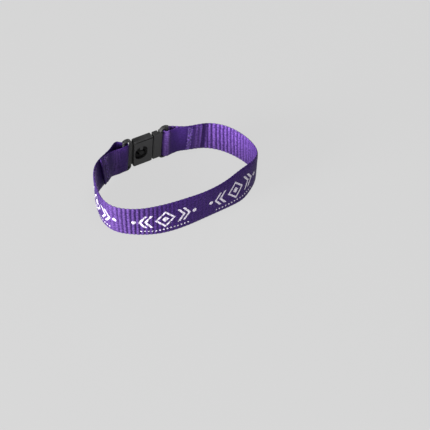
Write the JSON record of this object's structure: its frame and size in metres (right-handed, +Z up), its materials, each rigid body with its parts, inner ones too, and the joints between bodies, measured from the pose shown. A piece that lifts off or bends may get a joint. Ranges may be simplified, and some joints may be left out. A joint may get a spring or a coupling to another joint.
{
  "type": "woven wristband with a breakaway clasp",
  "caption": "Woven wristband: a closed loop of ribbed webbing with its ends folded round the bars of a two-part breakaway clasp at the back.",
  "frame": {"origin": "on the floor under the middle of the loop's bounding box", "axes": "+X along the clasp, to the right as seen from the front; +Y from the front of the loop to the clasp at its back; +Z up, across the webbing"},
  "size_m": [0.073, 0.0478, 0.0186],
  "materials": {
    "webbing": "ribbed weave with a dyed ground",
    "clasp": "fine matte moulding"
  },
  "bodies": {
    "root": {"band": "webbing", "clasp_socket": "clasp", "clasp_plug": "clasp"}
  },
  "joints": []
}
